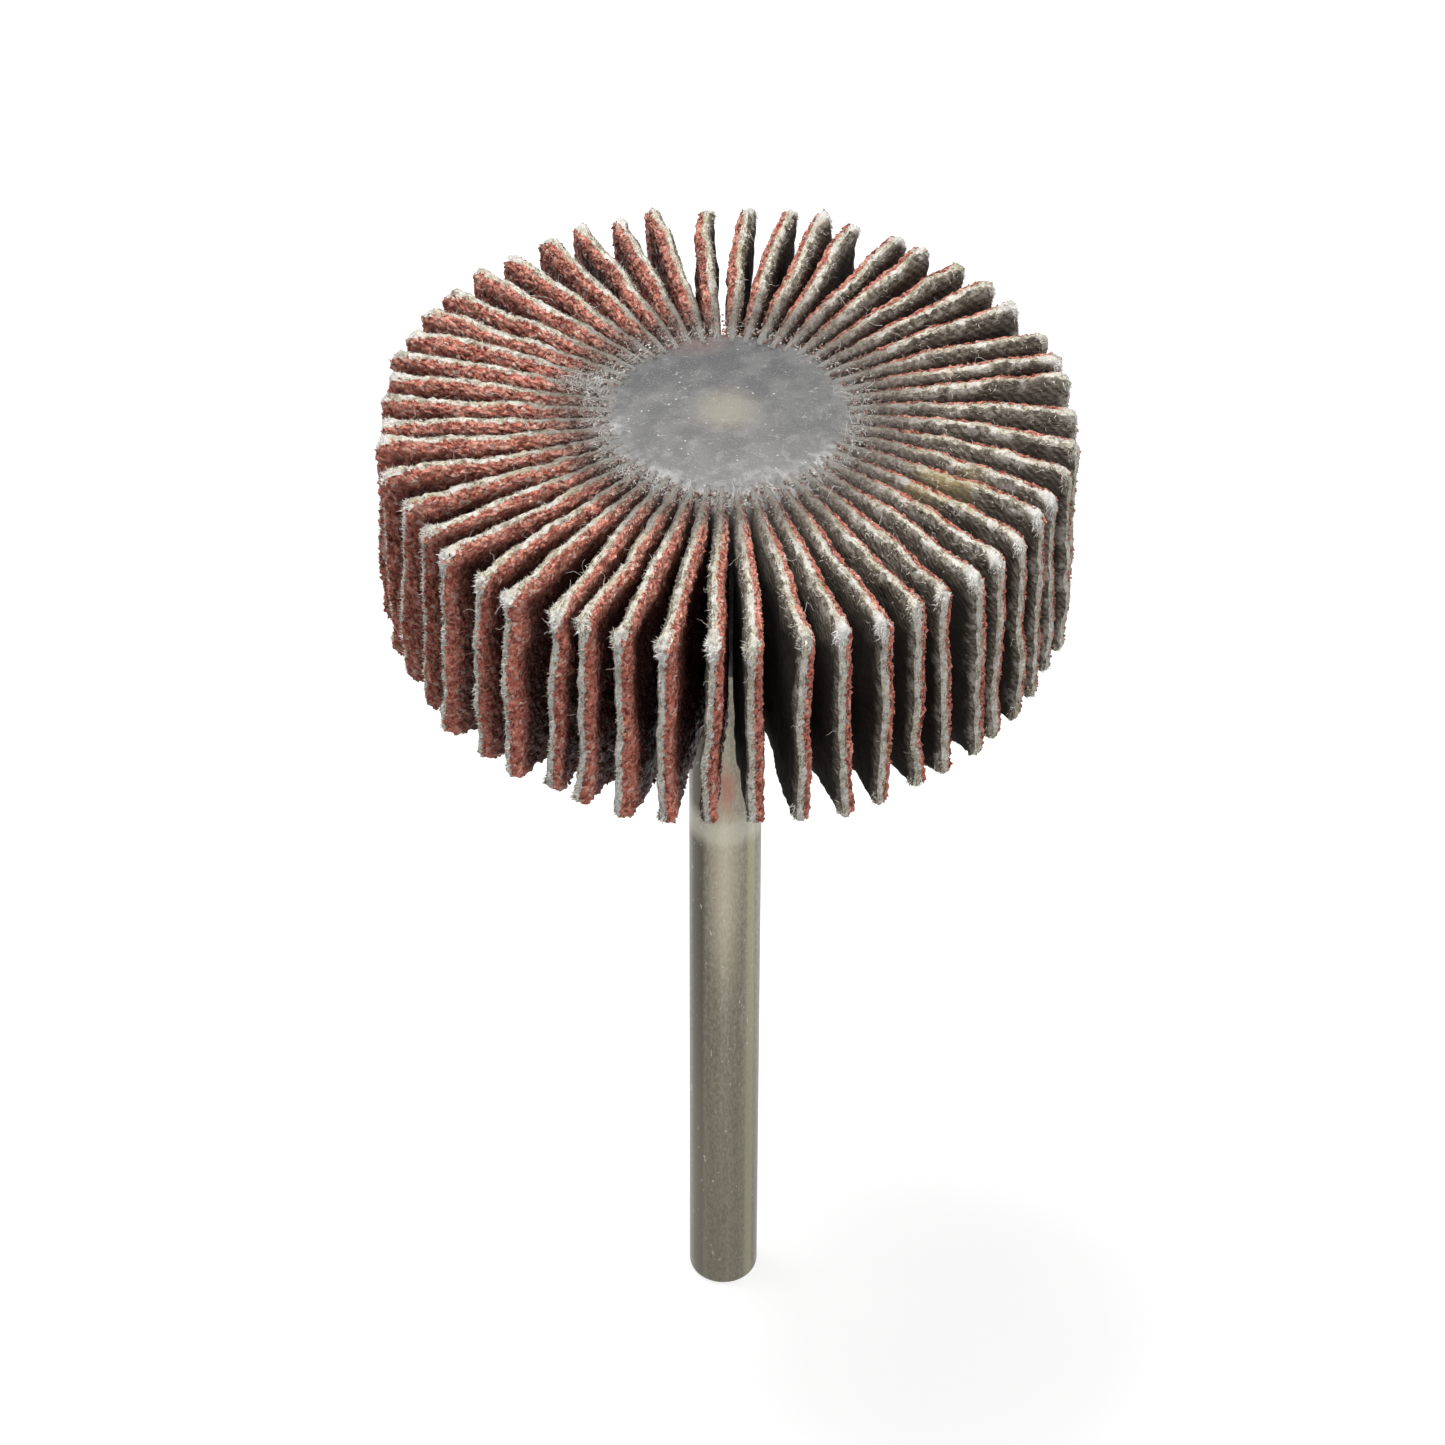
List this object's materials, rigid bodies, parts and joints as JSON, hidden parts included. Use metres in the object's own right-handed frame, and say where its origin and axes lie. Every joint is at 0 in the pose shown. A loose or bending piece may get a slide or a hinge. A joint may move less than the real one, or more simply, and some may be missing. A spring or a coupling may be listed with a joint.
{
  "type": "flap sanding wheel",
  "caption": "Small sanding wheel of abrasive cloth flaps set edge-on in a resin core on a plain steel shank, for a rotary tool's collet.",
  "frame": {"origin": "centre of the shank's lower end, where the shank's clamped length begins", "axes": "+Z along the spin axis, from the shank's free end to the wheel; +X and +Y are in the plane of the wheel, and the pictured side faces -Y"},
  "size_m": [0.0286, 0.0285, 0.052],
  "materials": {
    "shank_steel": "satin",
    "core_resin": "semi-gloss",
    "abrasive_cloth": "rough"
  },
  "bodies": {
    "root": {"shank": "shank_steel", "resin_core": "core_resin", "flap_01": "abrasive_cloth", "flap_02": "abrasive_cloth", "flap_03": "abrasive_cloth", "flap_04": "abrasive_cloth", "flap_05": "abrasive_cloth", "flap_06": "abrasive_cloth", "flap_07": "abrasive_cloth", "flap_08": "abrasive_cloth", "flap_09": "abrasive_cloth", "flap_10": "abrasive_cloth", "flap_11": "abrasive_cloth", "flap_12": "abrasive_cloth", "flap_13": "abrasive_cloth", "flap_14": "abrasive_cloth", "flap_15": "abrasive_cloth", "flap_16": "abrasive_cloth", "flap_17": "abrasive_cloth", "flap_18": "abrasive_cloth", "flap_19": "abrasive_cloth", "flap_20": "abrasive_cloth", "flap_21": "abrasive_cloth", "flap_22": "abrasive_cloth", "flap_23": "abrasive_cloth", "flap_24": "abrasive_cloth", "flap_25": "abrasive_cloth", "flap_26": "abrasive_cloth", "flap_27": "abrasive_cloth", "flap_28": "abrasive_cloth", "flap_29": "abrasive_cloth", "flap_30": "abrasive_cloth", "flap_31": "abrasive_cloth", "flap_32": "abrasive_cloth", "flap_33": "abrasive_cloth", "flap_34": "abrasive_cloth", "flap_35": "abrasive_cloth", "flap_36": "abrasive_cloth", "flap_37": "abrasive_cloth", "flap_38": "abrasive_cloth", "flap_39": "abrasive_cloth", "flap_40": "abrasive_cloth", "flap_41": "abrasive_cloth", "flap_42": "abrasive_cloth", "flap_43": "abrasive_cloth", "flap_44": "abrasive_cloth", "flap_45": "abrasive_cloth", "flap_46": "abrasive_cloth", "flap_47": "abrasive_cloth", "flap_48": "abrasive_cloth", "flap_49": "abrasive_cloth", "flap_50": "abrasive_cloth", "flap_51": "abrasive_cloth", "flap_52": "abrasive_cloth"}
  },
  "joints": []
}
